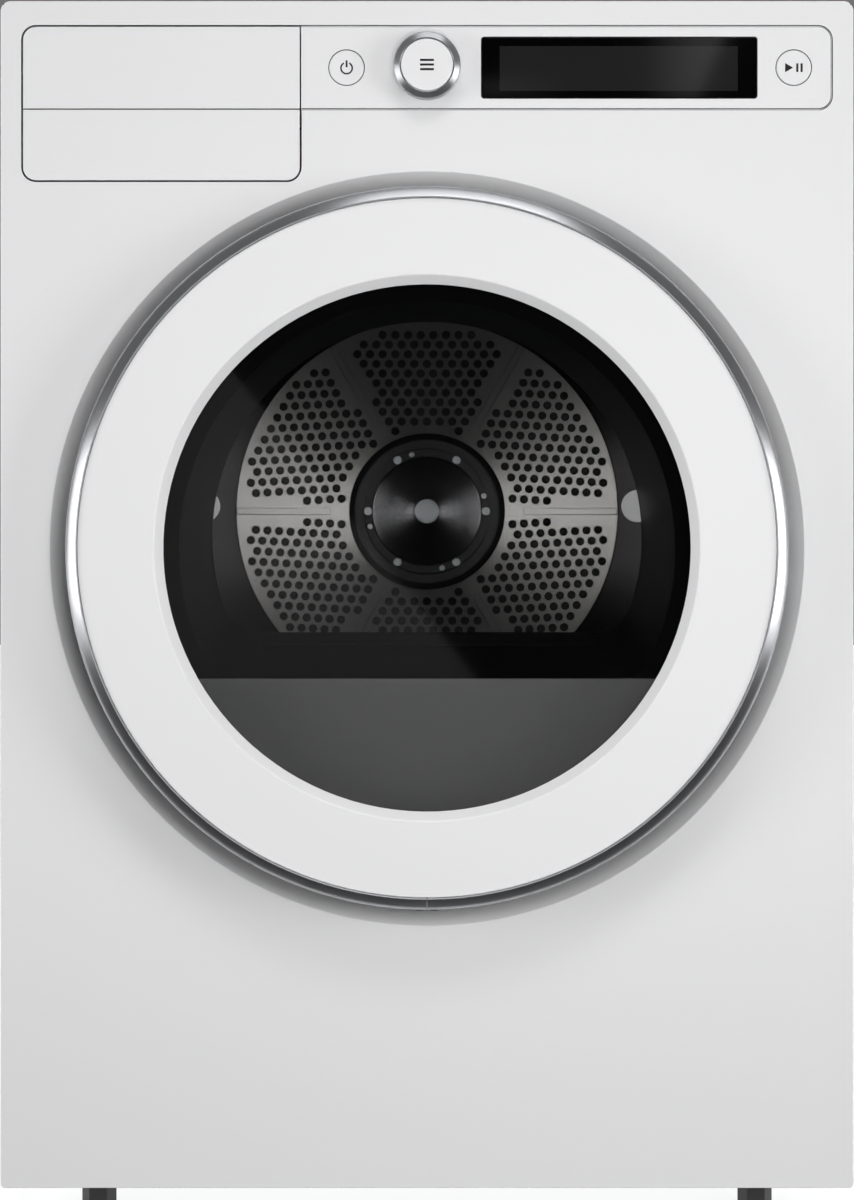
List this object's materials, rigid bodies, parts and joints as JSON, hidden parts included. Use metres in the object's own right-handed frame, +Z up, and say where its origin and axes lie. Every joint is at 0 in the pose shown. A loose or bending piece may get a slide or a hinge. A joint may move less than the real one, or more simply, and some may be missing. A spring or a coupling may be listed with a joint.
{
  "type": "clothes dryer",
  "caption": "Front-loading vented clothes dryer with a large round hinged door, control panel with knob and display, water drawer, belt-driven drum, blower, lint filter and rear exhaust.",
  "frame": {"origin": "on the floor, under the middle of the machine's whole width and depth", "axes": "+Z up, the door faces -Y, +X is to the right seen from the front"},
  "size_m": [0.595, 0.654, 0.85],
  "materials": {
    "white_paint": "satin",
    "zinc_sheet": "satin",
    "dark_plastic": "satin",
    "grey_plastic": "satin",
    "foot_plastic": "matte",
    "felt": "matte",
    "seal_rubber": "matte",
    "hinge_steel": "satin",
    "lamp_lens": "translucent",
    "white_plastic": "satin",
    "black_glass": "gloss",
    "circuit_board": "satin",
    "coil_wire": "satin",
    "motor_paint": "satin",
    "drum_steel": "brushed",
    "lifter_plastic": "satin",
    "hub_plastic": "satin",
    "trim_metal": "brushed",
    "tinted_glass": "clear",
    "clear_glass": "clear",
    "water_drawer": "satin",
    "pulley_plastic": "satin"
  },
  "bodies": {
    "cabinet": {"front_panel": "white_paint", "left_side_panel": "white_paint", "right_side_panel": "white_paint", "worktop": "white_paint", "rear_panel": "zinc_sheet", "base_tray": "grey_plastic", "front_bulkhead": "dark_plastic", "drum_felt_seal": "felt", "door_seal": "seal_rubber", "door_latch": "dark_plastic", "hinge_bracket": "hinge_steel", "drum_lamps": "lamp_lens", "control_fascia": "white_plastic", "display_glass": "black_glass", "control_board": "circuit_board", "drawer_housing": "dark_plastic", "rear_duct_cover": "zinc_sheet", "heater_housing": "zinc_sheet", "heater_coils": "coil_wire", "rear_brace": "zinc_sheet", "drum_bearing": "hinge_steel", "drum_rear_seal": "felt", "exhaust_duct": "zinc_sheet", "blower_housing": "dark_plastic", "motor_body": "motor_paint", "drive_belt": "seal_rubber", "roller_axles": "hinge_steel", "cord_gland": "seal_rubber", "cabinet_screws": "hinge_steel"},
    "door": {"door_trim_ring": "trim_metal", "door_face_ring": "white_plastic", "door_glass": "tinted_glass", "door_inner_shell": "dark_plastic", "door_inner_pane": "clear_glass", "door_strike": "hinge_steel", "hinge_leaf": "hinge_steel"},
    "drawer": {"drawer_front": "white_plastic", "drawer_box": "water_drawer"},
    "knob": {"knob_ring": "trim_metal"},
    "cap": {"knob_cap": "white_plastic"},
    "power": {"power_button": "white_plastic"},
    "start": {"start_button": "white_plastic"},
    "drum": {"drum_shell": "drum_steel", "drum_back": "drum_steel", "drum_lifters": "lifter_plastic", "drum_hub": "hub_plastic", "hub_cone": "drum_steel", "hub_screws": "hinge_steel", "drum_shaft": "hinge_steel"},
    "filter": {"lint_filter": "dark_plastic"},
    "rotor": {"motor_shaft": "hinge_steel", "blower_fan": "dark_plastic"},
    "roller_left": {"left_roller": "seal_rubber"},
    "roller_right": {"right_roller": "seal_rubber"},
    "idler": {"idler_arm": "hinge_steel"},
    "idler_wheel": {"idler_pulley": "pulley_plastic"},
    "foot_front_left": {"front_left_foot": "foot_plastic"},
    "foot_front_right": {"front_right_foot": "foot_plastic"},
    "foot_rear_left": {"rear_left_foot": "foot_plastic"},
    "foot_rear_right": {"rear_right_foot": "foot_plastic"}
  },
  "joints": [
    {"name": "door_hinge", "type": "hinge", "parent": "cabinet", "child": "door", "pos_m": [0.2437, -0.307, 0.46801], "axis": [0, 0, 1], "range_deg": [0, 150]},
    {"name": "drawer_slide", "type": "slide", "parent": "cabinet", "child": "drawer", "axis": [0, -1, 0], "range_m": [0, 0.36]},
    {"name": "knob_turn", "type": "hinge", "parent": "cabinet", "child": "knob", "pos_m": [0, -0.296, 0.8035], "axis": [0, 1, 0], "continuous": true},
    {"name": "cap_press", "type": "slide", "parent": "knob", "child": "cap", "axis": [0, 1, 0], "range_m": [0, 0.0012], "stiffness_N_per_m": 500, "springref_m": -0.001},
    {"name": "power_press", "type": "slide", "parent": "cabinet", "child": "power", "axis": [0, 1, 0], "range_m": [0, 0.0012], "stiffness_N_per_m": 500, "springref_m": -0.001},
    {"name": "start_press", "type": "slide", "parent": "cabinet", "child": "start", "axis": [0, 1, 0], "range_m": [0, 0.0012], "stiffness_N_per_m": 500, "springref_m": -0.001},
    {"name": "drum_spin", "type": "hinge", "parent": "cabinet", "child": "drum", "pos_m": [0, 0, 0.507], "axis": [0, 1, 0], "continuous": true},
    {"name": "rotor_spin", "type": "hinge", "parent": "cabinet", "child": "rotor", "pos_m": [0.15, 0, 0.115], "axis": [0, 1, 0], "continuous": true},
    {"name": "left_roller_spin", "type": "hinge", "parent": "cabinet", "child": "roller_left", "pos_m": [-0.16708, -0.166, 0.23961], "axis": [0, 1, 0], "continuous": true},
    {"name": "right_roller_spin", "type": "hinge", "parent": "cabinet", "child": "roller_right", "pos_m": [0.16708, -0.166, 0.23961], "axis": [0, 1, 0], "continuous": true},
    {"name": "idler_swing", "type": "hinge", "parent": "cabinet", "child": "idler", "pos_m": [-0.027, 0.0195, 0.041], "axis": [0, -1, 0], "range_deg": [0, 10], "stiffness_Nm_per_rad": 4, "springref_deg": -17.19},
    {"name": "idler_spin", "type": "hinge", "parent": "idler", "child": "idler_wheel", "pos_m": [-0.00706, 0.009, 0.162], "axis": [0, 1, 0], "continuous": true},
    {"name": "filter_lift", "type": "slide", "parent": "cabinet", "child": "filter", "axis": [0, 0, 1], "range_m": [0, 0.13]},
    {"name": "front_left_foot_screw", "type": "slide", "parent": "cabinet", "child": "foot_front_left", "axis": [0, 0, -1], "range_m": [0, 0.012]},
    {"name": "front_right_foot_screw", "type": "slide", "parent": "cabinet", "child": "foot_front_right", "axis": [0, 0, -1], "range_m": [0, 0.012]},
    {"name": "rear_left_foot_screw", "type": "slide", "parent": "cabinet", "child": "foot_rear_left", "axis": [0, 0, -1], "range_m": [0, 0.012]},
    {"name": "rear_right_foot_screw", "type": "slide", "parent": "cabinet", "child": "foot_rear_right", "axis": [0, 0, -1], "range_m": [0, 0.012]}
  ],
  "couplings": [
    {"joint": "rotor_spin", "follows": "drum_spin", "ratio": 21.376},
    {"joint": "left_roller_spin", "follows": "drum_spin", "ratio": -8.8438},
    {"joint": "right_roller_spin", "follows": "drum_spin", "ratio": -8.8438},
    {"joint": "idler_spin", "follows": "drum_spin", "ratio": -13.347}
  ]
}
